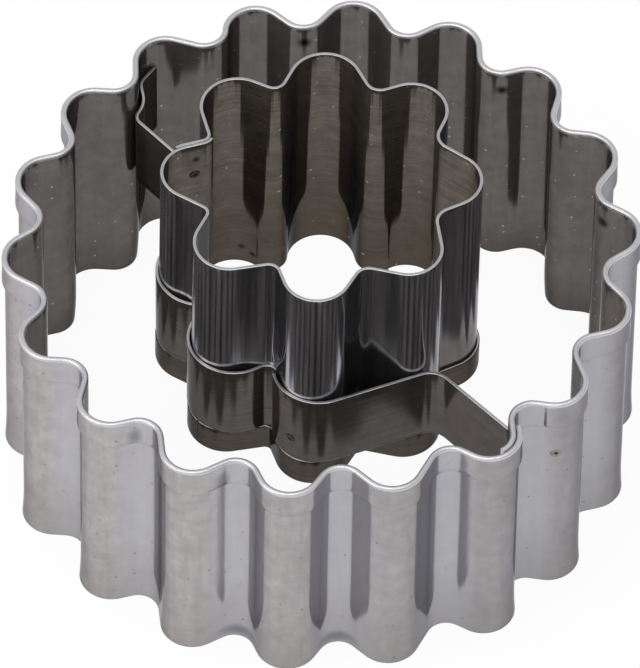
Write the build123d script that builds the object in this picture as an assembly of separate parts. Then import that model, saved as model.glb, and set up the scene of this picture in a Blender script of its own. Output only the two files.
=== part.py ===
"""Linzer cookie cutter: a fluted ring and a flower, both bent from hemmed strip, joined by a carrier band.

Millimetres. The origin is on the ring's axis, in the plane of its cutting edge, and +Z points up.
A strip is drawn as the mid-line of its sheet, seen from above, and its cross-section is carried along
that line. Lines run anticlockwise, so outward is always to the right of the line.
"""
import os
from math import asin, atan2, cos, degrees, radians, sin, sqrt

from build123d import *

# Sheet and strips
SHEET = 0.25                # thickness of the steel sheet
STRIP_HEIGHT = 22.1         # height of the ring and of the flower
HEM_HEIGHT = 2.7            # how far the folded edge laps back along the wall
FIT_GAP = 0.15              # room between sheets that lie against each other
HEM_OUTSET = SHEET * 1.5    # outside of the hem, from the mid-line of the wall

# Outer ring
RING_ACROSS = 50.0          # over the hem, from lobe to opposite lobe
RING_FLUTES = 18
RING_FLUTE_DEPTH = RING_ACROSS * 0.053      # from the lobes' tips in to the valleys
RING_LOBE_RADIUS = RING_ACROSS * 0.047      # mid-line of a lobe
RING_SEAM_ANGLE = 310.0     # direction of the valley where the strip's ends lap
RING_LAP_OVERRUN = 0.5      # how far the outer end runs on past the lobe it covers

# Flower cutter
FLOWER_ACROSS = 24.9        # over the wall, from petal to opposite petal
FLOWER_PETALS = 8
FLOWER_PETAL_DEPTH = FLOWER_ACROSS * 0.11       # from the petals' tips in to the valleys
FLOWER_PETAL_RADIUS = FLOWER_ACROSS * 0.1165    # mid-line of a petal's tip
FLOWER_SEAM_PETALS = 4      # petals from the front arm, clockwise, to the valley of the flower's lap
FLOWER_LAP_OVERRUN = 1.5    # how far the outer end runs on round the petal it covers
FLOWER_NOTCH_ROOM = 0.4     # hem cut away beyond the outer end
FLOWER_LIFT = 8.3           # hem of the flower above the ring's cutting edge

# Carrier band
BAND_HEIGHT = 7.6
BAND_EASE_RADIUS = 6.0      # mid-line of the wide bend by which the band leaves the flower
ARM_ROOT = FLOWER_ACROSS / 2 + 1.95     # from the axis out to where an arm's straight run begins
ARM_ROOT_RADIUS = 1.8       # mid-line of the bend between band and arm
TAB_BEND_RADIUS = 0.7       # mid-line of the bend between an arm and its tab

# Spot welds
WELD_DIAMETER = 1.0
LAP_WELD_COUNT = 3          # in the lap of the ring, and in that of the flower
LAP_WELD_INSET = 3.0        # outermost welds of a lap, in from the cutting edge and from the hem
PETAL_WELD_TURN = 40.0      # degrees round the end petal, from its tip towards the middle petal
PETAL_WELD_HEIGHT = 2.0     # above the band's lower edge
TAB_WELD_TURN = 30.0        # degrees round the ring's lobe, from its tip towards the arm
TAB_WELD_HEIGHT = 4.6       # above the band's lower edge

UP = Vector(0, 0, 1)


def polar(radius, angle):
    """Point at a distance from the axis, in a direction in degrees."""
    return Vector(radius * cos(radians(angle)), radius * sin(radians(angle)))


def direction(start, end):
    """Direction in degrees from one point to another."""
    return degrees(atan2(end.Y - start.Y, end.X - start.X))


def crossing(first, first_radius, second, second_radius):
    """Point at given distances from two points, on the right of the line from the first to the second."""
    span = (second - first).length
    along = (span**2 + first_radius**2 - second_radius**2) / (2 * span)
    aside = sqrt(first_radius**2 - along**2)
    heading = direction(first, second)
    return first + polar(along, heading) + polar(aside, heading - 90)


def bend(circle, start, end):
    """Arc on a circle (centre, radius, turn) between two directions; turn is 1 to the left, else -1."""
    centre, radius, turn = circle
    size = (turn * (end - start)) % 360
    return CenterArc(centre, radius, start, turn * size)


def chain(circles, start, end):
    """Arcs of a line that passes from circle to circle where they touch, turning left and right in turn."""
    arcs = []
    for here, following in zip(circles, circles[1:]):
        leave = direction(here[0], following[0])
        arcs.append(bend(here, start, leave))
        start = direction(following[0], here[0])
    return arcs + [bend(circles[-1], start, end)]


def carry(section, path):
    """Solid of a cross-section, drawn as (outward, up), carried along a path's arcs and straight runs."""
    pieces = []
    for edge in path:
        ahead = edge % 0
        face = Plane(origin=edge @ 0, x_dir=ahead.cross(UP), z_dir=-ahead) * section
        if edge.geom_type == GeomType.CIRCLE:
            turn = degrees(edge.length / edge.radius)
            pieces.append(revolve(face, Axis(edge.arc_center, edge.normal()), turn))
        else:
            pieces.append(extrude(face, edge.length, dir=ahead))
    return pieces[0].fuse(*pieces[1:]).clean() if len(pieces) > 1 else pieces[0]


def plain_section(bottom, height, inner=-SHEET / 2, outer=SHEET / 2):
    """Cross-section of a plain strip."""
    return Pos((inner + outer) / 2, bottom + height / 2) * Rectangle(outer - inner, height)


def hemmed_section(bottom, hem_at_top):
    """Cross-section of a strip with one edge folded outward and pressed flat against the wall."""
    lap = STRIP_HEIGHT - HEM_HEIGHT
    outline = Polyline(
        (SHEET / 2, lap),
        (SHEET / 2, 0),
        (-SHEET / 2, 0),
        (-SHEET / 2, STRIP_HEIGHT),
        (HEM_OUTSET, STRIP_HEIGHT),
        (HEM_OUTSET, lap),
        close=True,
    )
    section = make_face(outline)
    if not hem_at_top:
        section = Pos(0, STRIP_HEIGHT) * mirror(section, about=Plane.XZ)
    return Pos(0, bottom) * section


class Outline:
    """Closed row of equal lobes joined by valleys, with the valley before lobe 0 taken up by a lap.

    Each valley arc touches the two lobe arcs beside it. At the lap the sheet's inner end has its
    mid-line a step inside the outer end's, so both follow the same centres there.
    """

    def __init__(self, count, tip, depth, lobe_radius, seam_angle, lap_step):
        self.pitch = 360 / count
        self.lobe_radius = lobe_radius
        self.tip = tip
        self.first = seam_angle + self.pitch / 2
        self.lobe_ring = tip - lobe_radius
        reach = tip - depth - lobe_radius
        self.valley_ring = (self.lobe_ring**2 - reach**2) / 2
        self.valley_ring /= self.lobe_ring * cos(radians(self.pitch / 2)) - reach
        self.valley_radius = self.valley_ring - (tip - depth)
        self.inner_valley_radius = self.valley_radius + lap_step / 2
        self.outer_valley_radius = self.valley_radius - lap_step / 2
        self.count = count
        self.seam = crossing(
            self.lobe_centre(-1),
            lobe_radius + self.outer_valley_radius,
            self.lobe_centre(0),
            lobe_radius + self.inner_valley_radius,
        )

    def lobe_angle(self, index):
        return self.first + index * self.pitch

    def lobe_centre(self, index):
        return polar(self.lobe_ring, self.lobe_angle(index))

    def valley_centre(self, index):
        """Centre of the valley that follows a lobe."""
        return polar(self.valley_ring, self.lobe_angle(index) + self.pitch / 2)

    def lobe(self, index, outset=0.0):
        return (self.lobe_centre(index), self.lobe_radius + outset, 1)

    def valley(self, index, outset=0.0):
        return (self.valley_centre(index), self.valley_radius - outset, -1)

    def seam_inner(self, outset=0.0):
        return (self.seam, self.inner_valley_radius - outset, -1)

    def seam_outer(self):
        return (self.seam, self.outer_valley_radius, -1)

    def round_trip(self):
        """All lobes and the plain valleys between them, from lobe 0 to the last lobe."""
        circles = [self.lobe(0)]
        for index in range(1, self.count):
            circles += [self.valley(index - 1), self.lobe(index)]
        return circles


def nugget(circle, angle, height, inner, outer):
    """Spot weld: a round plug in the room between two sheets, given by how far their mid-lines lie outward
    from a bend's line."""
    centre, radius, turn = circle
    near, far = sorted((radius + turn * (inner + SHEET / 2), radius + turn * (outer - SHEET / 2)))
    reach = degrees(WELD_DIAMETER / near)
    arc = CenterArc(centre, near, angle - reach, 2 * reach)
    room = carry(plain_section(height - WELD_DIAMETER, 2 * WELD_DIAMETER, 0, far - near), [arc])
    drill = Plane(origin=centre + polar(far, angle) + UP * height, z_dir=polar(1, angle))
    return room & drill * Cylinder(WELD_DIAMETER / 2, 2 * WELD_DIAMETER)


def between(start, end):
    """Direction halfway round to the left from one direction to another."""
    return start + (end - start) % 360 / 2


def spaced(low, high, count):
    """Heights from low to high at equal steps."""
    return [low + (high - low) * step / (count - 1) for step in range(count)]


# Outer ring, hem at the top
ring_lap_step = 2 * SHEET + FIT_GAP
ring_line = Outline(
    RING_FLUTES,
    RING_ACROSS / 2 - HEM_OUTSET,
    RING_FLUTE_DEPTH,
    RING_LOBE_RADIUS,
    RING_SEAM_ANGLE,
    ring_lap_step,
)
ring_circles = [ring_line.lobe(-1, -ring_lap_step), ring_line.seam_inner()]
ring_circles += ring_line.round_trip() + [ring_line.seam_outer()]
ring_end = direction(ring_line.seam, ring_line.lobe_centre(-1))
ring_end -= degrees(RING_LAP_OVERRUN / ring_line.outer_valley_radius)
ring_path = chain(ring_circles, ring_line.lobe_angle(-1), ring_end)
outer_ring = carry(hemmed_section(0, hem_at_top=True), ring_path)

# Flower cutter, hem at the bottom; two opposite petals point along the band's arms
flower_lap_step = SHEET + FIT_GAP
petal_pitch = 360 / FLOWER_PETALS
flower_seam_angle = RING_SEAM_ANGLE - (FLOWER_SEAM_PETALS - 0.5) * petal_pitch
flower_line = Outline(
    FLOWER_PETALS,
    FLOWER_ACROSS / 2 - SHEET / 2,
    FLOWER_PETAL_DEPTH,
    FLOWER_PETAL_RADIUS,
    flower_seam_angle,
    flower_lap_step,
)
covered_petal = flower_line.lobe(0, flower_lap_step)
lap_begin = direction(flower_line.lobe_centre(0), flower_line.seam)
lap_end = lap_begin + degrees(FLOWER_LAP_OVERRUN / covered_petal[1])
notch_end = lap_end + degrees(FLOWER_NOTCH_ROOM / FLOWER_PETAL_RADIUS)
notched_path = chain([flower_line.seam_inner(), flower_line.lobe(0)], flower_seam_angle + 180, notch_end)
hemmed_circles = flower_line.round_trip() + [flower_line.seam_outer(), covered_petal]
hemmed_path = chain(hemmed_circles, notch_end, lap_end)
flower_cutter = carry(plain_section(FLOWER_LIFT, STRIP_HEIGHT), notched_path)
flower_cutter = flower_cutter + carry(hemmed_section(FLOWER_LIFT, hem_at_top=False), hemmed_path)

# Carrier band, just above the flower's hem and even about the petal between its two arms
band_bottom = FLOWER_LIFT + HEM_HEIGHT + FIT_GAP
band_outset = SHEET + FIT_GAP
band_section = plain_section(band_bottom, BAND_HEIGHT)
mirror_angle = RING_SEAM_ANGLE - 90


def half_band(valley, lobe, lobe_angle):
    """Half of the band: from the middle petal round the next, out along an arm and to the ring's wall."""
    end_petal = flower_line.lobe(2, band_outset)
    end_angle = flower_line.lobe_angle(2)
    wrap = [flower_line.lobe(1, band_outset), flower_line.valley(1, band_outset), end_petal]
    path = chain(wrap, mirror_angle, end_angle)

    along = polar(1, RING_SEAM_ANGLE)
    aside = polar(1, mirror_angle)
    ease_centre = polar(flower_line.tip + band_outset - BAND_EASE_RADIUS, end_angle)
    root_centre = along * ARM_ROOT + aside * ARM_ROOT_RADIUS
    span = (root_centre - ease_centre).length
    heading = direction(ease_centre, root_centre)
    heading += degrees(asin((BAND_EASE_RADIUS + ARM_ROOT_RADIUS) / span))
    ease = bend((ease_centre, BAND_EASE_RADIUS, 1), end_angle, heading - 90)
    root = bend((root_centre, ARM_ROOT_RADIUS, -1), heading + 90, RING_SEAM_ANGLE + 90)
    path += [ease, Line(ease @ 1, root @ 0), root]

    shift = valley[0].dot(aside) + TAB_BEND_RADIUS
    reach = sqrt((valley[1] + TAB_BEND_RADIUS) ** 2 - shift**2)
    foot_centre = along * (valley[0].dot(along) - reach) - aside * TAB_BEND_RADIUS
    tab = chain([(foot_centre, TAB_BEND_RADIUS, 1), valley, lobe], mirror_angle, lobe_angle)
    path += [Line(root @ 1, tab[0] @ 0)] + tab
    return carry(band_section, path)


tab_lobe = ring_line.lobe(0, -band_outset)
tab_angle = ring_line.lobe_angle(0)
plain_valley = (
    polar(ring_line.valley_ring, RING_SEAM_ANGLE),
    ring_line.valley_radius + band_outset,
    -1,
)
middle = Plane(origin=(0, 0, 0), z_dir=polar(1, RING_SEAM_ANGLE))
front_half = half_band(ring_line.seam_inner(-band_outset), tab_lobe, tab_angle)
back_half = mirror(half_band(plain_valley, tab_lobe, tab_angle), about=middle)
carrier_band = front_half + back_half

# Spot welds: each plug fills the room between the two sheets that it joins
lap_weld_heights = spaced(LAP_WELD_INSET, STRIP_HEIGHT - HEM_HEIGHT - LAP_WELD_INSET, LAP_WELD_COUNT)
ring_lap_angle = between(ring_line.lobe_angle(-1), direction(ring_line.lobe_centre(-1), ring_line.seam))
ring_seam_welds = [
    nugget(ring_line.lobe(-1), ring_lap_angle, height, -ring_lap_step, 0) for height in lap_weld_heights
]
flower_lap_angle = between(lap_begin, lap_end)
flower_top = FLOWER_LIFT + STRIP_HEIGHT
flower_seam_welds = [
    nugget(flower_line.lobe(0), flower_lap_angle, flower_top - height, 0, flower_lap_step)
    for height in lap_weld_heights
]
petal_weld_angle = flower_line.lobe_angle(2) - PETAL_WELD_TURN
petal_weld = nugget(
    flower_line.lobe(2), petal_weld_angle, band_bottom + PETAL_WELD_HEIGHT, 0, band_outset
)
band_to_flower_welds = [petal_weld, mirror(petal_weld, about=middle)]
tab_weld_angle = tab_angle - TAB_WELD_TURN
tab_weld = nugget(ring_line.lobe(0), tab_weld_angle, band_bottom + TAB_WELD_HEIGHT, -band_outset, 0)
band_to_ring_welds = [tab_weld, mirror(tab_weld, about=middle)]

nodes = {
    "outer_ring": outer_ring,
    "flower_cutter": flower_cutter,
    "carrier_band": carrier_band,
    "ring_seam_welds": Compound(children=ring_seam_welds),
    "flower_seam_welds": Compound(children=flower_seam_welds),
    "band_to_flower_welds": Compound(children=band_to_flower_welds),
    "band_to_ring_welds": Compound(children=band_to_ring_welds),
}
os.makedirs("parts", exist_ok=True)
for name, shape in nodes.items():
    export_step(shape, f"parts/{name}.step")
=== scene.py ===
"""Linzer cookie cutter of tinned steel: a fluted ring, a flower cutter and the band that joins them."""

import bpy
import numpy as np
from mathutils import Matrix


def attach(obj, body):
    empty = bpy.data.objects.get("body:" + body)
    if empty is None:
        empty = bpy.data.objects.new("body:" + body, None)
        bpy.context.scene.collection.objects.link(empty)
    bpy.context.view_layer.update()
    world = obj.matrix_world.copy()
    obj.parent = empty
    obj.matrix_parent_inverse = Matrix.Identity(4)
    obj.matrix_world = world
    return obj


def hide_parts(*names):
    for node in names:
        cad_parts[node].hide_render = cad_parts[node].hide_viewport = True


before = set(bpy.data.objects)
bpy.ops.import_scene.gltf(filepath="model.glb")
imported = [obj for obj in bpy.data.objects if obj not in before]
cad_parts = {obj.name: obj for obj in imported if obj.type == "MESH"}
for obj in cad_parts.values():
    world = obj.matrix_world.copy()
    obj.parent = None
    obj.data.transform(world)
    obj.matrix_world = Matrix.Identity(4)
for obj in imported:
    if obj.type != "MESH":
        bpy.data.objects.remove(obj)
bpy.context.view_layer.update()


# Outer ring: one strip of tinned steel sheet, bent into 18 round flutes, whose ends lap at the right front.
# Its upper edge is folded outward and pressed flat into a hem. Its lower edge is sheared and cuts the dough.
# Sizes are in millimetres, and points seen from above are complex numbers, x + y * i.
MM = 0.001
SHEET = 0.25
HALF = SHEET / 2
STRIP_HEIGHT = 22.1
HEM_HEIGHT = 2.7
HEM_OUTSET = SHEET * 1.5                # outside of the hem, from the wall's mid-line
HEM_SLOT, HEM_SLOT_DEPTH = 0.03, 0.3    # room that stays open behind the edge of the hem's flap
HEM_ROUND, EDGE_ROUND, SLOT_ROUND = 0.1, 0.05, 0.01
LAP_GAP = 0.03
RING_ACROSS = 50.0
RING_FLUTES = 18
RING_SEAM = np.radians(310)             # direction of the valley where the ends lap
RING_LOBE, RING_VALLEY, RING_LAP_VALLEY = 2.27, 1.84, 1.5
RING_FLUTE_DEPTH = 2.56
RING_SLACK = 0.045                      # kept free inside RING_ACROSS for what is uneven
RING_OUT_OF_ROUND = 0.12
RING_LONG_WAY = np.radians(45)
RING_LEAN = 0.11 / STRIP_HEIGHT         # sideways for each millimetre up
RING_SHIFT = -0.02
RING_ENDS = -59.6, 306.45               # degrees round the ring to the strip's two ends
RING_FOOT_FLARE, RING_FOOT_HEIGHT = 0.12, 3.2
RING_FOOT_BACK_IN = 0.28                # by how much the back of the foot stands further in
RING_EDGE_SHOWS, RIM_SHOWS = 0.02, 0.2  # heights of the cut face below and of the fold's bright ridge
RING_SLIT = -45.7                       # degrees round the ring to a fine slit across the hem
SLIT_DEPTH, SLIT_WIDTH = 0.15, 0.04
SLIT_SHORT = 0.35                       # how far a slit ends from the fold
SLIT_STATIONS = np.array([-0.09, -0.05, -0.02, 0.02, 0.05, 0.09])
NECK_DEPTH, NECK_BELOW, NECK_REACH = 0.06, 1.0, 0.5     # groove that the press leaves below the fold
FLAP_STILL = 0.06                       # inner part of the flap's thickness, which slit and groove spare
NEAR = 0.01                             # how near counts as on a face or an edge
# Flutes that the rolls left uneven: millimetres that they stand out further, degrees that they are turned.
UNEVEN_LOBES = {0: (0.15, -0.4), 4: (0, 0.2), 12: (0.3, 0), 14: (0, 0.25), 16: (0, 0.4), 17: (0.42, 0.9)}
UNEVEN_VALLEYS = {
    3: (-0.15, 0), 4: (-0.15, 0.1), 7: (0, -0.5), 13: (-0.2, 0),
    14: (0, 0.36), 15: (-0.2, 0.1), 16: (0.12, 1.0), 17: (0.23, -0.3),
}
ARC_POINTS = 200
CORNER_STEPS = 4
SECTION_GRID, RING_GRID = 0.8, 0.2      # distances of the mesh's points round a section and along the ring
TINY, SAME_POINT = 1e-9, 1e-6
SHARP_ANGLE = np.radians(38)
# Finishes of a strip's sides, by the place of their material.
OUTSIDE, INSIDE, CUT, FOLDED = range(4)


def fluted(angles, tips, floors, lobe_radii, valley_radii):
    """Centres of a closed row of lobes and valleys.

    A lobe's circle reaches out to its tip at the lobe's angle. A valley's circle reaches in to its floor,
    in the direction of the middle between the centres of its two lobes.
    """
    lobes = (tips - lobe_radii) * np.exp(1j * angles)
    between = lobes + np.roll(lobes, -1)
    return lobes, between / abs(between) * (floors + valley_radii)


def uneven(centres, flutes):
    """The centres, of which the given flutes are moved out by millimetres and turned by degrees."""
    for at, (out, turn) in flutes.items():
        centres[at] *= (1 + out / abs(centres[at])) * np.exp(1j * np.radians(turn))
    return centres


def strip_line(centres, bends, begin, end):
    """Mid-line of a bent strip seen from above: its length, points and outward directions, close together.

    The strip runs on arcs about the centres. A bend is an arc's radius, positive where the strip turns left
    and negative where it turns right. It goes from arc to arc on their common tangent, whose heading is the
    direction between the centres less the arcsine of the change of bend over their distance. begin and end
    are the directions in which its ends lie from the first and the last centre. Outward is its right side.
    """
    centres, bends = np.array(centres), np.array(bends)
    gap = np.diff(centres)
    heading = np.angle(gap) - np.arcsin(np.clip(np.diff(bends) / abs(gap), -1, 1))
    side = np.sign(bends)
    enter = np.append(begin, heading - side[1:] * np.pi / 2)
    leave = np.append(heading - side[:-1] * np.pi / 2, end)
    sweep = side * np.mod(side * (leave - enter) + TINY, 2 * np.pi)
    angle = enter[:, None] + sweep[:, None] * np.linspace(0, 1, ARC_POINTS)
    points = (centres[:, None] + abs(bends)[:, None] * np.exp(1j * angle)).ravel()
    outward = (side[:, None] * np.exp(1j * angle)).ravel()
    length = np.append(0, np.cumsum(abs(np.diff(points))))
    return length, points, outward


def way_to(degrees, turn, length):
    """Millimetres along a strip to the places at the given degrees round the cutter's axis."""
    return np.interp(np.radians(degrees), turn, length)


def rounded(corners):
    """Outline of a cross-section: corners (out, up, rounding) joined by straight sides, leftwards round.

    A corner is rounded by a parabola that touches its two sides at the rounding's distance from the corner.
    Long sides get points in between. Returns complex points, out + up * i, and the way round to each, with
    the whole way round at the end.
    """
    corner = np.array([complex(out, up) for out, up, _ in corners])
    size = np.array([rounding for _, _, rounding in corners])[:, None]
    back = np.roll(corner, 1) - corner
    ahead = np.roll(corner, -1) - corner
    share = np.linspace(0, 1, CORNER_STEPS + 1)
    bow = (back / abs(back))[:, None] * (1 - share) ** 2 + (ahead / abs(ahead))[:, None] * share**2
    outline = (corner[:, None] + size * bow).ravel()
    outline = np.append(outline, outline[0])
    way = np.append(0, np.cumsum(abs(np.diff(outline))))
    keep = np.append(True, np.diff(way) > SAME_POINT)
    outline, way = outline[keep], way[keep]
    extra = np.arange(SECTION_GRID, way[-1], SECTION_GRID)
    extra = extra[abs(extra[:, None] - way).min(axis=1) > SECTION_GRID / 3]
    every = np.sort(np.append(way, extra))
    return np.interp(every[:-1], way, outline), every


def hem_slit(stations, at, where):
    """Depth of a fine slit across the hem: a bell curve along the strip, on the points that where marks."""
    return SLIT_DEPTH * np.exp(-(((stations - at) / SLIT_WIDTH) ** 2))[:, None] * where


def new_piece(mesh):
    """Object of a finished mesh, smooth but for its sharp edges, with its place in the mesh."""
    mesh.shade_smooth()
    mesh.set_sharp_from_angle(angle=SHARP_ANGLE)
    piece = bpy.data.objects.new(mesh.name, mesh)
    bpy.context.scene.collection.objects.link(piece)
    return piece


def strip_piece(name, length, line, outward, section, way, finish, lean):
    """Closed surface of a cross-section carried along a strip's mid-line.

    Point (i, j) stands at line[i, j] + outward[i] * section[i, j].real, at height section[i, j].imag, and
    moves by lean for each millimetre of height. Each side of the section takes the material that finish
    gives it. The map "strip" holds millimetres along the strip and round the section.
    """
    count, around = section.shape
    plan = line + outward[:, None] * section.real + lean * section.imag
    points = np.stack([plan.real, plan.imag, section.imag], axis=-1).reshape(-1, 3) * MM
    here = np.arange(count * around).reshape(count, around)
    beside = np.roll(here, -1, axis=1)
    quads = np.stack([here[:-1], here[1:], beside[1:], beside[:-1]], axis=-1).reshape(-1, 4)
    mesh = bpy.data.meshes.new(name)
    mesh.from_pydata(points, [], quads.tolist() + [here[0].tolist(), here[-1, ::-1].tolist()])
    steps = np.stack([length[:-1], length[1:], length[1:], length[:-1]], axis=-1)
    turns = np.stack([way[:-1], way[:-1], way[1:], way[1:]], axis=-1)
    sides = np.stack(np.broadcast_arrays(steps[:, None], turns[None]), axis=-1).reshape(-1, 2)
    first_end = np.stack([0 * way[:-1] + length[0], way[:-1]], axis=-1)
    last_end = np.stack([0 * way[:-1] + length[-1], way[-2::-1]], axis=-1)
    places = np.concatenate([sides, first_end, last_end])
    mesh.uv_layers.new(name="strip").uv.foreach_set("vector", places.ravel())
    finishes = np.append(np.tile(finish, count - 1), [CUT, CUT])
    mesh.polygons.foreach_set("material_index", finishes.astype(np.int32))
    return new_piece(mesh)


# Patterns of the tin, in millimetres along the strip and up. The forming rolls leave ripples and streaks. The
# mill's rolling lines are drawn coarser than real ones, so that they show.
CLOUDS = 1.6, 1.6
RIPPLES, RIPPLE_DEPTH = (0.5, 30), 0.004
ROLL_STREAKS = 0.7, 8
ROLLING_LINES = 12, 0.15
ROUGH_SWING = 0.02
UPRIGHT = 0.25                          # turns by which the shader's spread is set upright
FLECK_SPACING, FLECK_REACH, FLECK_RIM = 1.5, 0.11, 0.03


def linear(code):
    """An sRGB hex colour as linear red, green and blue, with full alpha."""
    srgb = np.array([int(code[at : at + 2], 16) for at in (1, 3, 5)]) / 255
    rgb = np.where(srgb <= 0.04045, srgb / 12.92, ((srgb + 0.055) / 1.055) ** 2.4)
    return (*rgb.tolist(), 1.0)


def add(tree, kind, inputs, **settings):
    """Adds a shader node with its settings, and gives its inputs values or links; returns it."""
    node = tree.nodes.new("ShaderNode" + kind)
    for key, value in settings.items():
        setattr(node, key, value)
    for key, value in inputs.items():
        if isinstance(value, bpy.types.NodeSocket):
            tree.links.new(value, node.inputs[key])
        else:
            node.inputs[key].default_value = value
    return node


def tinplate(name, light, dark, edge, grain, grained, metallic, roughness, spread):
    """Tinned steel sheet, cold rolled: a satin metal whose rolling lines run along the strip.

    The lines spread a reflection up and down the wall and leave it sharp sideways. The forming rolls leave
    faint upright ripples, and the tin is cloudy and grained: grain is the length and height of its streaks,
    and grained their share in the colour, which goes from dark to light. Dulled tin scatters a part of its
    light, and a film on it dims the reflections at a flat angle, whose colour is edge.
    """
    material = bpy.data.materials.new(name)
    material.use_nodes = True
    tree = material.node_tree
    shader = tree.nodes["Principled BSDF"]
    place = add(tree, "UVMap", {}, uv_map="strip").outputs[0]
    noises = []
    for (wide, high), detail, harsh in ((CLOUDS, 7.0, 0.68), (grain, 3.0, 0.6), (RIPPLES, 2.0, 0.5)):
        scaled = add(tree, "Mapping", {"Vector": place, "Scale": (1 / wide, 1 / high, 1)}).outputs[0]
        noise = {"Vector": scaled, "Scale": 1.0, "Detail": detail, "Roughness": harsh}
        noises.append(add(tree, "TexNoise", noise).outputs[0])
    cloud, streak, ripple = noises
    both = add(tree, "Mix", {0: grained, 2: cloud, 3: streak}).outputs[0]
    share = add(tree, "MapRange", {"Value": both, "From Min": 0.35, "From Max": 0.65}).outputs[0]
    colour = add(tree, "Mix", {0: share, 6: linear(dark), 7: linear(light)}, data_type="RGBA").outputs[2]
    rougher, smoother = roughness + ROUGH_SWING, roughness - ROUGH_SWING
    clouds = {"Value": cloud, "From Min": 0.3, "From Max": 0.7, "To Min": rougher, "To Max": smoother}
    rough = add(tree, "MapRange", clouds).outputs[0]
    bump = add(tree, "Bump", {"Strength": 1.0, "Distance": RIPPLE_DEPTH * MM, "Height": ripple}).outputs[0]
    tangent = add(tree, "Tangent", {}, direction_type="UV_MAP", uv_map="strip").outputs[0]
    shader.inputs["Specular Tint"].default_value = linear(edge)
    for key, value in {"Metallic": metallic, "Anisotropic": spread, "Anisotropic Rotation": UPRIGHT}.items():
        shader.inputs[key].default_value = value
    links = {"Base Color": colour, "Roughness": rough, "Normal": bump, "Tangent": tangent}
    for key, value in links.items():
        tree.links.new(value, shader.inputs[key])
    return material


def stain(material, code, mask):
    """Lays a colour over the metal's own colour, as strongly as the mask tells."""
    base = material.node_tree.nodes["Principled BSDF"].inputs["Base Color"]
    clean = base.links[0].from_socket
    over = add(material.node_tree, "Mix", {0: mask, 6: clean, 7: linear(code)}, data_type="RGBA").outputs[2]
    material.node_tree.links.new(over, base)


def fading(material, along, none_at, full_at, most):
    """Mask that grows evenly from nothing to its most, between two places in millimetres.

    Along is "X" or "Z" for a place on that axis, or "out" for the distance from the cutter's upright axis.
    """
    tree = material.node_tree
    place = add(tree, "TexCoord", {}).outputs["Object"]
    if along == "out":
        flat = add(tree, "Mapping", {"Vector": place, "Scale": (1, 1, 0)}).outputs[0]
        measure = add(tree, "VectorMath", {0: flat}, operation="LENGTH").outputs["Value"]
    else:
        measure = add(tree, "SeparateXYZ", {0: place}).outputs[along]
    ends = {"From Min": none_at * MM, "From Max": full_at * MM, "To Max": most}
    return add(tree, "MapRange", {"Value": measure, **ends}).outputs[0]


def spots(material, places, reach):
    """Mask of oval spots at the given places of the map "strip".

    It is 1 within a quarter of a spot's reach, in millimetres along and across the strip, and 0 beyond it.
    """
    tree = material.node_tree
    place = add(tree, "UVMap", {}, uv_map="strip").outputs[0]
    place = add(tree, "Mapping", {"Vector": place, "Scale": (1 / reach[0], 1 / reach[1], 1)}).outputs[0]
    mask = 0.0
    for at in places:
        middle = (at[0] / reach[0], at[1] / reach[1], 0)
        far = add(tree, "VectorMath", {0: place, 1: middle}, operation="DISTANCE").outputs["Value"]
        spot = add(tree, "MapRange", {"Value": far, "From Min": 1.0, "From Max": 0.25}).outputs[0]
        mask = add(tree, "Math", {0: spot, 1: mask}, operation="MAXIMUM").outputs[0]
    return mask


def flecks(material, code, strength):
    """Lays small round flecks of dust, tin or old dough over the metal.

    About half of the cells, which are FLECK_SPACING apart, have one. Its radius is by chance up to
    FLECK_REACH, and its colour fades over FLECK_RIM.
    """
    tree = material.node_tree
    place = add(tree, "UVMap", {}, uv_map="strip").outputs[0]
    cells = {"Vector": place, "Scale": 1 / FLECK_SPACING}
    cell = add(tree, "TexVoronoi", cells, voronoi_dimensions="2D").outputs
    chance = add(tree, "SeparateColor", {0: cell["Color"]}).outputs[0]
    radii = {"Value": chance, "From Min": 0.5, "To Max": FLECK_REACH / FLECK_SPACING}
    radius = add(tree, "MapRange", radii).outputs[0]
    inside = add(tree, "Math", {0: radius, 1: cell["Distance"]}, operation="SUBTRACT").outputs[0]
    rims = {"Value": inside, "From Max": FLECK_RIM / FLECK_SPACING, "To Max": strength}
    stain(material, code, add(tree, "MapRange", rims).outputs[0])


ring_pitch = 2 * np.pi / RING_FLUTES
ring_angles = RING_SEAM + ring_pitch * (np.arange(RING_FLUTES) + 0.5)
ring_tip = RING_ACROSS / 2 - HEM_OUTSET - RING_SLACK
ring_tips = ring_tip + RING_OUT_OF_ROUND * np.cos(2 * (ring_angles - RING_LONG_WAY))
ring_floors = ring_tip - RING_FLUTE_DEPTH
ring_floors += RING_OUT_OF_ROUND * np.cos(2 * (ring_angles + ring_pitch / 2 - RING_LONG_WAY))
ring_lap_step = 2 * SHEET + LAP_GAP
ring_valley = np.append(np.full(RING_FLUTES - 1, RING_VALLEY), RING_LAP_VALLEY)
ring_lobes, ring_valleys = fluted(ring_angles, ring_tips, ring_floors, RING_LOBE, ring_valley)
ring_lobes, ring_valleys = uneven(ring_lobes, UNEVEN_LOBES), uneven(ring_valleys, UNEVEN_VALLEYS)
ring_lap = ring_valleys[-1]
ring_lap_in, ring_lap_out = RING_LAP_VALLEY + ring_lap_step / 2, RING_LAP_VALLEY - ring_lap_step / 2
ring_centres = np.stack([ring_lobes, ring_valleys], axis=-1).ravel()[:-1]
ring_bends = np.tile([RING_LOBE, -RING_VALLEY], RING_FLUTES)[:-1]
ring_length, ring_points, ring_outward = strip_line(
    [ring_lobes[-1], ring_lap, *ring_centres, ring_lap],
    [RING_LOBE - ring_lap_step, -ring_lap_in, *ring_bends, -ring_lap_out],
    ring_angles[-1],
    RING_SEAM + np.pi,
)
ring_turn = np.unwrap(np.angle(ring_points))
ring_points = ring_points + RING_SHIFT - RING_LEAN * STRIP_HEIGHT
begin, end = way_to(RING_ENDS, ring_turn, ring_length)
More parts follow.
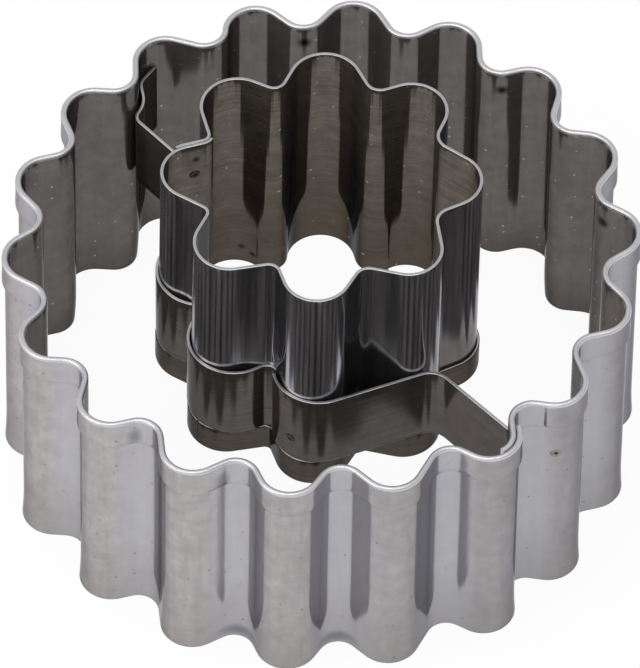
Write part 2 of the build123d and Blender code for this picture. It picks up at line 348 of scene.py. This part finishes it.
slit_at = way_to(RING_SLIT, ring_turn, ring_length)
stations = np.linspace(begin, end, round((end - begin) / RING_GRID))
stations = np.sort(np.append(stations, slit_at + SLIT_STATIONS))
hem_low = STRIP_HEIGHT - HEM_HEIGHT
outline, ring_way = rounded(
    [
        (HALF, 0, EDGE_ROUND),
        (HALF, hem_low + HEM_SLOT_DEPTH, SLOT_ROUND),
        (HALF + HEM_SLOT, hem_low + HEM_SLOT_DEPTH, SLOT_ROUND),
        (HALF + HEM_SLOT, hem_low, EDGE_ROUND),
        (HEM_OUTSET, hem_low, HEM_ROUND),
        (HEM_OUTSET, STRIP_HEIGHT, SHEET),
        (-HALF, STRIP_HEIGHT, SHEET),
        (-HALF, 0, EDGE_ROUND),
    ]
)
out, up = outline.real, outline.imag
flare = RING_FOOT_FLARE * np.clip(1 - up / RING_FOOT_HEIGHT, 0, 1) ** 2
on_flap = (out > HALF + HEM_SLOT + FLAP_STILL) & (up > hem_low - NEAR)
neck = NECK_DEPTH * np.exp(-(((up - STRIP_HEIGHT + NECK_BELOW) / NECK_REACH) ** 2)) * on_flap
slit = hem_slit(stations, slit_at, on_flap & (up < STRIP_HEIGHT - SLIT_SHORT))
ring_line = np.interp(stations, ring_length, ring_points)[:, None]
to_back = np.clip(ring_line.imag / ring_tip, 0, 1)
ring_line = ring_line - 1j * RING_FOOT_BACK_IN * to_back * (1 - up / STRIP_HEIGHT)
middle = (outline + np.roll(outline, -1)) / 2
ring_finish = np.where(middle.imag < RING_EDGE_SHOWS, CUT, OUTSIDE)
ring_finish = np.where(middle.real < -HALF + NEAR, INSIDE, ring_finish)
ring_finish = np.where(middle.imag > STRIP_HEIGHT - RIM_SHOWS, FOLDED, ring_finish)
outer_ring = strip_piece(
    "outer_ring_strip",
    stations,
    ring_line,
    np.interp(stations, ring_length, ring_outward),
    out + flare - neck - slit + 1j * up,
    ring_way,
    ring_finish,
    RING_LEAN,
)
# Places on the ring: degrees round it, and millimetres up.
FOOT_SHADE_PATCHES = np.array([[250.4, 0.8], [270.1, 0.8]])
HEM_DARK_PATCHES = np.array([[246.6, 20.9], [226.6, 21.1]])
RIM_DOTS = np.array([[7.4, 19.7], [47.2, 20.1], [90.0, 20.3], [-33.7, 19.2]])
# Tin that hands and dough keep bright: a soft mirror, in which the pale room stands as upright bands.
ring_bright = tinplate(
    "tinplate_rolled_bright",
    light="#BAB7B7",
    dark="#A09C9C",
    edge="#A0A0A8",
    grain=ROLL_STREAKS,
    grained=0.35,
    metallic=0.78,
    roughness=0.15,
    spread=0.8,
)
# Painted shade: the tin is darkened evenly towards the right side.
stain(ring_bright, "#7C7B80", fading(ring_bright, "X", none_at=-15, full_at=25, most=0.57))
# Painted reflection: the flanks and valleys take the bluish tint of the cool light that they mirror.
stain(ring_bright, "#BABAC0", fading(ring_bright, "out", none_at=24.4, full_at=23.2, most=0.6))
# Painted shade: the tin darkens towards the cutting edge, where it mirrors the shaded floor by the foot.
stain(ring_bright, "#77736F", fading(ring_bright, "Z", none_at=8, full_at=0, most=0.36))
# Painted shade above the foot of two front valleys; two flanks of the hem have darker patches too.
for code, patches, reach in (("#7F7E83", FOOT_SHADE_PATCHES, (2.6, 0.75)), ("#8C8B8E", HEM_DARK_PATCHES, (0.9, 1.3))):
    patches_at = np.c_[way_to(patches[:, 0], ring_turn, ring_length), patches[:, 1]]
    stain(ring_bright, code, spots(ring_bright, patches_at, reach))
flecks(ring_bright, "#5E5C5F", 0.7)
# The inside is painted darker and greyer than the outside: painted shade of the ring's inside. A haze lies
# over its reflections.
ring_inside_shaded = tinplate(
    "tinplate_rolled_painted_shade",
    light="#777270",
    dark="#64605E",
    edge="#6A6664",
    grain=ROLL_STREAKS,
    grained=0.3,
    metallic=0.65,
    roughness=0.13,
    spread=0.7,
)
# Painted shade: darker towards the foot, near the floor.
stain(ring_inside_shaded, "#4A4644", fading(ring_inside_shaded, "Z", none_at=5, full_at=0, most=0.6))
# Black dots on the inner wall, just under the rim.
rim_dots_at = way_to(RIM_DOTS[:, 0], ring_turn, ring_length)
rim_dots_at = np.c_[rim_dots_at, ring_way[-1] - SHEET - RIM_DOTS[:, 1]]
stain(ring_inside_shaded, "#1E1B19", spots(ring_inside_shaded, rim_dots_at, (0.7, 0.7)))
flecks(ring_inside_shaded, "#C4C1C0", 0.7)
# The shear bares the steel: a fine pale line along each cut edge.
sheared_edge = tinplate(
    "tinplate_sheared_edge",
    light="#CCCBCD",
    dark="#BEBDBF",
    edge="#FFFFFF",
    grain=ROLLING_LINES,
    grained=0.3,
    metallic=1.0,
    roughness=0.3,
    spread=0.0,
)
# The fold stretches the tin, which blurs its shine into an even bright ridge.
folded_rim = tinplate(
    "tinplate_folded_rim",
    light="#D6D6DA",
    dark="#CACACE",
    edge="#FFFFFF",
    grain=ROLLING_LINES,
    grained=0.3,
    metallic=1.0,
    roughness=0.45,
    spread=0.0,
)
for finish in (ring_bright, ring_inside_shaded, sheared_edge, folded_rim):
    outer_ring.data.materials.append(finish)
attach(outer_ring, "root")
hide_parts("outer_ring")


# Flower cutter: a second strip of the same sheet, bent into 8 petals, with its hem at the bottom and its
# sheared edge at the top. Its ends are welded on the left petal, where the outer one passes a notch in the
# hem of the other.
FLOWER_ACROSS = 24.95
FLOWER_PETALS = 8
FLOWER_PETAL, FLOWER_LAP_PETAL = 2.7, 2.6
FLOWER_BULGE, FLOWER_PETAL_SWING = 0.17, 0.12       # towards the front arm, where the band pulls it out
FLOWER_DIP, FLOWER_DIP_SWING = 1.02, 0.33           # radius of the valleys, and by how much it differs
FLOWER_DIP_TURNS = np.radians([0.9, 1.6, -0.9, 0.9, 1.0, -0.5, 0.2, 0.3])
FLOWER_FLOORS, FLOWER_FLOOR_SWING = 9.63, 0.235     # from the axis out to the valleys' floors
FLOWER_SHALLOW_SIDE = np.radians(340)
FLOWER_BACK = np.radians(85)
FLOWER_FOOT_DIP_MORE, FLOWER_FOOT_FLOORS_IN = 0.55, 0.15    # wider, deeper valleys at the foot's back
FLOWER_SHIFT = -0.137 + 0.036j
FLOWER_LEAN = 0.0115 + 0.0092j                      # sideways for each millimetre up
FLOWER_SEAM = np.radians(152)
FLOWER_LAP_OVERRUN = 1.95
FLOWER_NOTCH_ROOM = 0.4
FLOWER_LIFT = 8.3
FLOWER_SLIT = 218.7                                 # degrees round the flower
FLOWER_GRID = 0.15
FLOWER_STREAKS = 0.5, 14
EDGE_SHOWS = 0.03                                   # height of a cut edge's bright face

petal_pitch = 2 * np.pi / FLOWER_PETALS
petal_angles = FLOWER_SEAM + petal_pitch * (np.arange(FLOWER_PETALS) + 0.5)
to_front_arm = np.cos(petal_angles - RING_SEAM)
flower_petal = FLOWER_PETAL - FLOWER_PETAL_SWING * to_front_arm
flower_petal[0] = FLOWER_LAP_PETAL
flower_bulged = FLOWER_BULGE * to_front_arm
flower_tips = FLOWER_ACROSS / 2 - HALF + flower_bulged - FLOWER_PETAL_SWING * to_front_arm
dip_angles = petal_angles + petal_pitch / 2
flower_dip = FLOWER_DIP + FLOWER_DIP_SWING * np.cos(dip_angles)
flower_floors = FLOWER_FLOORS + FLOWER_FLOOR_SWING * np.cos(dip_angles - FLOWER_SHALLOW_SIDE)
to_back = np.clip(np.cos(dip_angles - FLOWER_BACK), 0, 1) ** 2
foot_dip = flower_dip + FLOWER_FOOT_DIP_MORE * to_back
foot_floors = flower_floors - FLOWER_FOOT_FLOORS_IN * to_back
petals, dips = fluted(petal_angles, flower_tips, flower_floors, flower_petal, flower_dip)
foot_dips = fluted(petal_angles, flower_tips, foot_floors, flower_petal, foot_dip)[1]
petals, turned = petals + FLOWER_SHIFT, np.exp(1j * FLOWER_DIP_TURNS)
dips, foot_dips = dips * turned + FLOWER_SHIFT, foot_dips * turned + FLOWER_SHIFT
flower_step = SHEET + LAP_GAP
flower_lap = dips[-1]
flower_lap_in, flower_lap_out = flower_dip[-1] + flower_step / 2, flower_dip[-1] - flower_step / 2
lap_begin = np.angle(flower_lap - petals[0])
lap_end = lap_begin + FLOWER_LAP_OVERRUN / (flower_petal[0] + flower_step)
notch_end = lap_end + FLOWER_NOTCH_ROOM / flower_petal[0]


def flower_line(valleys, radii):
    """Mid-line of the flower with the given valleys, from its covered end round to its outer end."""
    centres = np.stack([petals, valleys], axis=-1).ravel()[:-1]
    bends = np.stack([flower_petal, -radii], axis=-1).ravel()[:-1]
    return strip_line(
        [flower_lap, *centres, flower_lap, petals[0]],
        [-flower_lap_in, *bends, -flower_lap_out, flower_petal[0] + flower_step],
        FLOWER_SEAM + np.pi,
        lap_end,
    )


flower_length, flower_points, flower_outward = flower_line(dips, flower_dip)
from_notch = abs(flower_points - (petals[0] + flower_petal[0] * np.exp(1j * notch_end)))
notch_at = flower_length[np.argmin(from_notch)]
flower_turn = np.unwrap(np.angle(flower_points))
slit_at = way_to(FLOWER_SLIT, flower_turn, flower_length)
flower_top = FLOWER_LIFT + STRIP_HEIGHT
flower_points = flower_points - FLOWER_LEAN * flower_top
flower_foot = flower_line(foot_dips, foot_dip)[1] - FLOWER_LEAN * flower_top
stations = np.linspace(0, flower_length[-1], round(flower_length[-1] / FLOWER_GRID))
stations = np.sort(np.concatenate([stations, slit_at + SLIT_STATIONS, [notch_at - NEAR, notch_at + NEAR]]))
outline, flower_way = rounded(
    [
        (HALF, STRIP_HEIGHT, EDGE_ROUND),
        (-HALF, STRIP_HEIGHT, EDGE_ROUND),
        (-HALF, 0, SHEET),
        (HEM_OUTSET, 0, SHEET),
        (HEM_OUTSET, HEM_HEIGHT, HEM_ROUND),
        (HALF + HEM_SLOT, HEM_HEIGHT, EDGE_ROUND),
        (HALF + HEM_SLOT, HEM_HEIGHT - HEM_SLOT_DEPTH, SLOT_ROUND),
        (HALF, HEM_HEIGHT - HEM_SLOT_DEPTH, SLOT_ROUND),
    ]
)
out, up = outline.real, outline.imag
on_flap = (out > HALF + HEM_SLOT + FLAP_STILL) & (up < HEM_HEIGHT + NEAR)
slit = hem_slit(stations, slit_at, on_flap & (up > SLIT_SHORT))
flower_out = np.where(stations[:, None] < notch_at, np.minimum(out, HALF), out - slit)
middle = (outline + np.roll(outline, -1)) / 2
flower_finish = np.where(middle.imag > STRIP_HEIGHT - EDGE_SHOWS, CUT, OUTSIDE)
flower_finish = np.where(middle.real < -HALF + NEAR, INSIDE, flower_finish)
flower_finish = np.where((middle.imag < HEM_HEIGHT) & (middle.real > 0), FOLDED, flower_finish)
hem_edge = (abs(middle.imag - HEM_HEIGHT) < EDGE_SHOWS) & (middle.real > HALF + HEM_SLOT)
flower_finish = np.where(hem_edge, CUT, flower_finish)
top_line = np.interp(stations, flower_length, flower_points)[:, None]
foot_line = np.interp(stations, flower_length, flower_foot)[:, None]
flower = strip_piece(
    "flower_strip",
    stations,
    top_line + (foot_line - top_line) * (1 - up / STRIP_HEIGHT),
    np.interp(stations, flower_length, flower_outward),
    flower_out + 1j * (up + FLOWER_LIFT),
    flower_way,
    flower_finish,
    FLOWER_LEAN,
)
# Burnt spots inside: degrees round the flower, from the lap on, and millimetres up.
BURNS = np.array([[158.9, 28.75], [480.6, 10.2], [477.3, 9.6]])
# The inside is painted dark brownish grey: painted shade of the flower's deep inside. Its rolling lines show.
flower_inside = tinplate(
    "tinplate_flower_inside",
    light="#79726B",
    dark="#504B46",
    edge="#5E5850",
    grain=ROLLING_LINES,
    grained=0.5,
    metallic=0.7,
    roughness=0.11,
    spread=0.7,
)
# Painted shade: darker and browner towards the lower part, deep inside the flower.
stain(flower_inside, "#4D453B", fading(flower_inside, "Z", none_at=24, full_at=12, most=0.6))
# It is burnt where the electrodes touched the sheet and where it was gripped.
burns_at = np.c_[way_to(BURNS[:, 0], flower_turn, flower_length), SHEET + flower_top - BURNS[:, 1]]
stain(flower_inside, "#2E2925", spots(flower_inside, burns_at, (0.4, 0.4)))
flecks(flower_inside, "#B8B2AA", 0.6)
# The outside is bright and finely ribbed by the forming rolls, so that it glints in upright streaks.
flower_outside = tinplate(
    "tinplate_flower_outside",
    light="#B8B8BD",
    dark="#828287",
    edge="#D2D2D6",
    grain=FLOWER_STREAKS,
    grained=0.85,
    metallic=0.93,
    roughness=0.12,
    spread=0.7,
)
# Painted shade: the outside darkens and browns towards its lower part, deep in the ring and behind the band.
stain(flower_outside, "#5C564F", fading(flower_outside, "Z", none_at=18, full_at=13, most=0.8))
# Painted shade: its flanks and valleys are darkened, where the strip folds inward.
stain(flower_outside, "#5C5956", fading(flower_outside, "out", none_at=12, full_at=11, most=0.4))
# The hem, low in the ring, is painted the darkest and brownest: painted shade.
hem_shaded = tinplate(
    "tinplate_hem_painted_shade",
    light="#635C56",
    dark="#47433D",
    edge="#5E5850",
    grain=ROLLING_LINES,
    grained=0.7,
    metallic=0.65,
    roughness=0.18,
    spread=0.55,
)
for finish in (flower_outside, flower_inside, sheared_edge, hem_shaded):
    flower.data.materials.append(finish)
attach(flower, "root")
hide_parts("flower_cutter")


# Carrier band: a narrow strip of the same sheet that lies round half of the flower, just above its hem. It
# leaves the flower in two arms on one line, and each arm ends in a tab that is welded to the ring's wall.
BAND_HEIGHT = 7.37
BAND_ABOVE_HEM = 0.05
BAND_LOW = FLOWER_LIFT + HEM_HEIGHT + BAND_ABOVE_HEM
BAND_BEND, BAND_DIP = 3.54, 0.95        # radii round the petals' tips and in the valleys between them
BAND_BENDS_OFF = np.array([0.51 - 0.02j, 0.34 + 0.17j, 0.22 + 0.43j])   # its centres, from the flower's
BAND_DIPS_OFF = np.array([-0.44 - 0.15j, -0.13 - 0.44j])
BAND_GRID = 0.12
ARM_ROOT, ARM_ROOT_BEND = 14.2, 1.8
ARM_ASIDE_FRONT, ARM_ASIDE_BACK = 0.14, 0.05
ARM_RISE_AT, ARM_RISE = [14.2, 21, 24], [0, 0.33, 0.83]     # the back arm climbs towards the ring
TAB_BEND, TAB_CREASE = 0.7, 1.2
TAB_STAND_OFF = 0.45
TAB_GAP = 0.04
TAB_END = np.radians(110)
BACK_VALLEY = 8                         # the ring's valley at which the back arm ends

stand_off = SHEET + TAB_GAP
along = np.exp(1j * RING_SEAM)
aside = along / 1j


def other_arm(point):
    """The same point on the other arm: mirrored across the line at right angles to the arms."""
    return np.conj(point / along) * -along


def tab_foot(valley, radius, beside):
    """Centre of the bend between an arm and its tab: it touches the arm's line and the valley's circle."""
    shift = (valley / along).real, (beside - TAB_BEND) - (valley / aside).real
    out = shift[0] - np.sqrt((radius + TAB_BEND) ** 2 - shift[1] ** 2)
    return along * out + aside * (beside - TAB_BEND)


lap_wall = ring_lap_in + TAB_STAND_OFF
back_wall = RING_VALLEY + TAB_STAND_OFF
root_front = along * ARM_ROOT + aside * (ARM_ASIDE_FRONT + ARM_ROOT_BEND)
root_back = other_arm(along * ARM_ROOT + aside * (ARM_ASIDE_BACK + ARM_ROOT_BEND))
foot_front = tab_foot(ring_lap, lap_wall, ARM_ASIDE_FRONT)
foot_back = other_arm(tab_foot(other_arm(ring_valleys[BACK_VALLEY]), back_wall, ARM_ASIDE_BACK))
tab_end = ring_lobes[BACK_VALLEY] + (RING_LOBE - stand_off) * np.exp(1j * TAB_END)
tab_crease = ring_lobes[BACK_VALLEY] + TAB_CREASE - RING_LOBE + stand_off
band_petals = petals[: len(BAND_BENDS_OFF)] + BAND_BENDS_OFF
band_dips = dips[: len(BAND_DIPS_OFF)] + BAND_DIPS_OFF
round_flower = [band_petals[0], band_dips[0], band_petals[1], band_dips[1], band_petals[2]]
round_bends = [BAND_BEND, -BAND_DIP, BAND_BEND, -BAND_DIP, BAND_BEND]
back_arm = [tab_end, tab_crease, ring_valleys[BACK_VALLEY], foot_back, root_back]
front_arm = [root_front, foot_front, ring_lap, ring_lobes[0]]
back_bends = [EDGE_ROUND, TAB_CREASE, -back_wall, TAB_BEND, -ARM_ROOT_BEND]
front_bends = [-ARM_ROOT_BEND, TAB_BEND, -lap_wall, RING_LOBE - stand_off]
band_length, band_points, band_outward = strip_line(
    [*back_arm, *round_flower, *front_arm],
    [*back_bends, *round_bends, *front_bends],
    TAB_END,
    ring_angles[0],
)
stations = np.linspace(0, band_length[-1], round(band_length[-1] / BAND_GRID))
outline, band_way = rounded(
    [
        (HALF, 0, EDGE_ROUND),
        (HALF, BAND_HEIGHT, EDGE_ROUND),
        (-HALF, BAND_HEIGHT, EDGE_ROUND),
        (-HALF, 0, EDGE_ROUND),
    ]
)
band_line = np.interp(stations, band_length, band_points)
rise = np.interp(-(band_line / along).real, ARM_RISE_AT, ARM_RISE)
middle = (outline + np.roll(outline, -1)) / 2
from_middle = abs(middle.imag - BAND_HEIGHT / 2)
band_finish = np.where(middle.real < 0, INSIDE, OUTSIDE)
band_finish = np.where(from_middle > BAND_HEIGHT / 2 - EDGE_SHOWS, CUT, band_finish)
band = strip_piece(
    "carrier_band_strip",
    stations,
    band_line[:, None],
    np.interp(stations, band_length, band_outward),
    outline + 1j * (BAND_LOW + rise[:, None]),
    band_way,
    band_finish,
    0,
)
# Both sides are painted dark brownish grey: painted shade of the band low in the ring. Their rolling lines
# draw a reflection out upwards.
band_outside, band_inside = (
    tinplate(
        "tinplate_band_" + side,
        light="#6B6662",
        dark="#504C4A",
        edge="#8A8684",
        grain=ROLLING_LINES,
        grained=0.6,
        metallic=0.65,
        roughness=0.13,
        spread=0.7,
    )
    for side in ("outside", "inside")
)
# Painted shade: the band's inside is darkened nearly to black towards the flower, in the narrow room between
# them.
stain(band_inside, "#252322", fading(band_inside, "out", none_at=17, full_at=14.5, most=0.85))
for finish in (band_outside, band_inside, sheared_edge):
    band.data.materials.append(finish)
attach(band, "root")
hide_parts("carrier_band")


# Spot welds: where two sheets meet, a short burst of current melts a nugget of steel between them. They
# hold both laps and tie the band to the flower and to the ring. An electrode leaves a low collar round a
# pit, whose middle is painted black as painted shade.
WELD_RADIUS = 0.5
WELD_GRAIN = 0.2
PIT_RIM, PIT_FLOOR = 0.2, 0.12          # radii at which the pit's painted shade begins and is black
WELD_SINK = 0.03                        # by how much a hidden nugget reaches into its sheets
PLUG_SIDES = 24
# From a plug's middle out to its rim: shares of its radius, and how far its collar stands up there.
PLUG_SHARES = np.array([0.1, 0.25, 0.4, 0.6, 0.85, 1.0])
PLUG_COLLAR = np.array([0.004, 0.006, 0.02, 0.03, 0.02, -0.03])
# Degrees round ring and flower to their welds, degrees round the band's own bends, and millimetres up.
RING_LAP_WELDS, RING_LAP_WELDS_UP = -56, (3.0, 9.7, 16.4)
FLOWER_LAP_WELDS, FLOWER_LAP_WELDS_UP = 159.2, (14.0, 20.7, 27.0)
FLOWER_LAP_WELDS_SHORT = 0.05           # by how much they end inside the outer sheet's face
BAND_WELD_OPEN, BAND_WELD_HIDDEN, BAND_WELDS_UP = 230, 200, 13.25
BAND_WELDS_IN = 0.35
TAB_WELD_FRONT, TAB_WELD_FRONT_UP = -44.35, 15.95
TAB_WELD_BACK, TAB_WELD_BACK_UP = 124.3, 15.7
TAB_WELD_FRONT_IN = 0.1


def weld_metal(name, light, dark):
    """Melted steel: matt and grained, so it stays dark beside the tin, with painted shade in its pit."""
    material = bpy.data.materials.new(name)
    material.use_nodes = True
    tree = material.node_tree
    shader = tree.nodes["Principled BSDF"]
    place = add(tree, "TexCoord", {}).outputs["Object"]
    grains = {"Vector": place, "Scale": 1 / (WELD_GRAIN * MM), "Detail": 3.0}
    grain = add(tree, "TexNoise", grains).outputs[0]
    tint = add(tree, "Mix", {0: grain, 6: linear(dark), 7: linear(light)}, data_type="RGBA").outputs[2]
    middle = add(tree, "Attribute", {}, attribute_name="from_middle").outputs["Fac"]
    pit = add(tree, "MapRange", {"Value": middle, "From Min": PIT_RIM, "From Max": PIT_FLOOR}).outputs[0]
    pit_shaded = add(tree, "Mix", {0: pit, 6: tint, 7: linear("#171412")}, data_type="RGBA").outputs[2]
    rough = add(tree, "MapRange", {"Value": grain, "To Min": 0.35, "To Max": 0.6}).outputs[0]
    shader.inputs["Metallic"].default_value = 0.8
    tree.links.new(pit_shaded, shader.inputs["Base Color"])
    tree.links.new(rough, shader.inputs["Roughness"])
    return material


def spot_welds(name, node, strip, lean, places, metal):
    """Round plugs through two sheets, one for each place: along, up, from, to, and the collars at both.

    Along and up are millimetres along the strip's line and above the floor, from and to are distances
    outward from that line, and a collar is 1 where the plug's end shows one and 0 elsewhere. A plug's
    outline, radius against distance, is turned about the plug's middle and laid on the bent strip: a point
    at radius r and angle a stands r cos a further along and r sin a higher.
    """
    length, line, outward = strip
    along, up, inner, outer, inner_collar, outer_collar = np.array(places).T[:, :, None, None]
    radius = WELD_RADIUS * np.append(PLUG_SHARES, PLUG_SHARES[::-1])[:, None]
    low = inner - inner_collar * PLUG_COLLAR[:, None]
    high = outer + outer_collar * PLUG_COLLAR[::-1, None]
    distance = np.concatenate([low, high], axis=1)
    angle = np.linspace(0, 2 * np.pi, PLUG_SIDES, endpoint=False)
    at = along + radius * np.cos(angle)
    height = up + radius * np.sin(angle)
    plan = np.interp(at, length, line) + np.interp(at, length, outward) * distance + lean * height
    points = np.stack([plan.real, plan.imag, height], axis=-1).reshape(-1, 3) * MM
    here = np.arange(at.size).reshape(at.shape)
    beside = np.roll(here, -1, axis=2)
    quads = np.stack([here[:, :-1], beside[:, :-1], beside[:, 1:], here[:, 1:]], axis=-1).reshape(-1, 4)
    mesh = bpy.data.meshes.new(name)
    mesh.from_pydata(points, [], quads.tolist() + here[:, 0, ::-1].tolist() + here[:, -1].tolist())
    middle = mesh.attributes.new("from_middle", "FLOAT", "POINT")
    middle.data.foreach_set("value", np.broadcast_to(radius, at.shape).ravel())
    mesh.materials.append(metal)
    piece = new_piece(mesh)
    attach(piece, "root")
    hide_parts(node)


ring_strip = ring_length, ring_points, ring_outward
flower_strip = flower_length, flower_points, flower_outward
band_strip = band_length, band_points, band_outward
weld_bright = weld_metal("steel_weld_bright", "#A8A39C", "#827C74")
# The darker copy of the weld metal is painted shade, for welds on the shaded flower, band and laps.
weld_shaded = weld_metal("steel_weld_painted_shade", "#5A5650", "#3E3A36")
lap_at = way_to(RING_LAP_WELDS, ring_turn, ring_length)
lap_gap = HALF - WELD_SINK, ring_lap_step - HALF + WELD_SINK
lap_welds = [(lap_at, up, *lap_gap, 0, 0) for up in RING_LAP_WELDS_UP]
spot_welds("ring_lap_nuggets", "ring_seam_welds", ring_strip, RING_LEAN, lap_welds, weld_shaded)
petal_at = way_to(FLOWER_LAP_WELDS, flower_turn, flower_length)
lap_through = -HALF, flower_step - FLOWER_LAP_WELDS_SHORT
lap_welds = [(petal_at, up, *lap_through, 1, 0) for up in FLOWER_LAP_WELDS_UP]
spot_welds("flower_lap_nuggets", "flower_seam_welds", flower_strip, FLOWER_LEAN, lap_welds, weld_shaded)
on_open_bend = band_petals[2] + BAND_BEND * np.exp(1j * np.radians(BAND_WELD_OPEN))
on_hidden_bend = band_petals[0] + BAND_BEND * np.exp(1j * np.radians(BAND_WELD_HIDDEN))
open_at = band_length[np.argmin(abs(band_points - on_open_bend))]
hidden_at = band_length[np.argmin(abs(band_points - on_hidden_bend))]
band_welds = [
    (open_at, BAND_WELDS_UP, -BAND_WELDS_IN, HALF, 0, 1),
    (hidden_at, BAND_WELDS_UP, -BAND_WELDS_IN, 0, 0, 0),
]
spot_welds("band_flower_nuggets", "band_to_flower_welds", band_strip, 0, band_welds, weld_shaded)
front_at = way_to(TAB_WELD_FRONT, ring_turn, ring_length)
back_at = way_to(TAB_WELD_BACK, ring_turn, ring_length)
ring_welds = [
    (front_at, TAB_WELD_FRONT_UP, -HALF - TAB_WELD_FRONT_IN, HALF, 0, 1),
    (back_at, TAB_WELD_BACK_UP, -TAB_STAND_OFF, HALF, 0, 1),
]
spot_welds("band_ring_nuggets", "band_to_ring_welds", ring_strip, RING_LEAN, ring_welds, weld_bright)


# Studio: a sheet of matt white paper under the cutter, and large soft lamps round it, in metres.
FLOOR_REACH = 0.9
FLOOR_BELOW = 0.02 * MM
OWN_WHITE = 0.94
floor_mesh = bpy.data.meshes.new("paper_floor")
corners = np.array([(-1, -1), (1, -1), (1, 1), (-1, 1)]) * FLOOR_REACH
floor_mesh.from_pydata(np.c_[corners, np.full(4, -FLOOR_BELOW)], [], [(0, 1, 2, 3)])
floor = bpy.data.objects.new("paper_floor", floor_mesh)
bpy.context.scene.collection.objects.link(floor)
paper = bpy.data.materials.new("paper_matt_white")
paper.use_nodes = True
tree = paper.node_tree
shader = tree.nodes["Principled BSDF"]
shader.inputs["Base Color"].default_value = linear("#F8F8F8")
shader.inputs["Roughness"].default_value = 0.9
shader.inputs["Specular IOR Level"].default_value = 0.2
# Most of the paper's white shows by itself, to the camera and in the metal, so that its shadows stay pale.
ray = add(tree, "LightPath", {}).outputs
seen = ray["Is Camera Ray"]
for kind in ("Is Glossy Ray", "Is Transmission Ray"):
    seen = add(tree, "Math", {0: seen, 1: ray[kind]}, operation="ADD", use_clamp=True).outputs[0]
own = add(tree, "Math", {0: seen, 1: OWN_WHITE}, operation="MULTIPLY").outputs[0]
glow = add(tree, "Emission", {"Color": (1, 1, 1, 1), "Strength": 1.0}).outputs[0]
shown = add(tree, "MixShader", {0: own, 1: shader.outputs[0], 2: glow}).outputs[0]
tree.links.new(shown, tree.nodes["Material Output"].inputs["Surface"])
floor_mesh.materials.append(paper)

# Each lamp: direction and height in degrees, distance, width, share of the floor's white, and colour.
LAMPS = {
    "lamp_left": (-70, 40, 0.8, 0.5, 0.22, "#FFFAF2"),
    "lamp_front": (-10, 35, 0.8, 0.5, 0.04, "#FFFFFF"),
    "lamp_overhead": (0, 88, 0.8, 0.3, 0.2, "#FFFFFF"),
}
for name, (azimuth, height, away, width, share, colour) in LAMPS.items():
    a, h = np.radians(azimuth), np.radians(height)
    back = np.array([np.sin(a) * np.cos(h), -np.cos(a) * np.cos(h), np.sin(h)])
    right = np.array([np.cos(a), np.sin(a), 0])
    lamp = bpy.data.lights.new(name, "AREA")
    lamp.size = width
    lamp.color = linear(colour)[:3]
    # The power at which this lamp alone would give matt white paper its share of white.
    lamp.energy = share * np.pi**2 * away**2 / np.sin(h)
    stand = bpy.data.objects.new(name, lamp)
    columns = np.c_[right, np.cross(back, right), back, back * away]
    stand.matrix_world = Matrix(np.r_[columns, [[0, 0, 0, 1]]].tolist())
    bpy.context.scene.collection.objects.link(stand)
world = bpy.data.worlds.new("studio")
world.use_nodes = True
world.node_tree.nodes["Background"].inputs["Color"].default_value = linear("#D2D2D2")
bpy.context.scene.world = world
bpy.context.scene.view_settings.view_transform = "Standard"


# Camera: a long lens from the front and above, as the photograph was taken.
AZIMUTH, ELEVATION, ROLL = np.radians([-4.011, 51.311, 0.57])
AWAY = 1000.0
PIXELS_PER_MM = 12.6467
PHOTO_HEIGHT = 668                      # pixels
SHIFT_RIGHT, SHIFT_UP = -0.047, 6.798   # of the view's middle, from the ring's axis at the floor
right = np.array([np.cos(AZIMUTH), np.sin(AZIMUTH), 0])
flat = np.array([np.sin(AZIMUTH), -np.cos(AZIMUTH), 0])
back = flat * np.cos(ELEVATION) + np.array([0, 0, np.sin(ELEVATION)])
up = np.cross(back, right)
tilted_right = right * np.cos(ROLL) + up * np.sin(ROLL)
tilted_up = up * np.cos(ROLL) - right * np.sin(ROLL)
eye = (back * AWAY + tilted_right * SHIFT_RIGHT + tilted_up * SHIFT_UP) * MM
lens = bpy.data.cameras.new("camera")
lens.sensor_fit = "VERTICAL"
lens.lens = PIXELS_PER_MM * AWAY / PHOTO_HEIGHT * lens.sensor_height
camera = bpy.data.objects.new("camera", lens)
camera.matrix_world = Matrix(np.r_[np.c_[tilted_right, tilted_up, back, eye], [[0, 0, 0, 1]]].tolist())
bpy.context.scene.collection.objects.link(camera)
bpy.context.scene.camera = camera
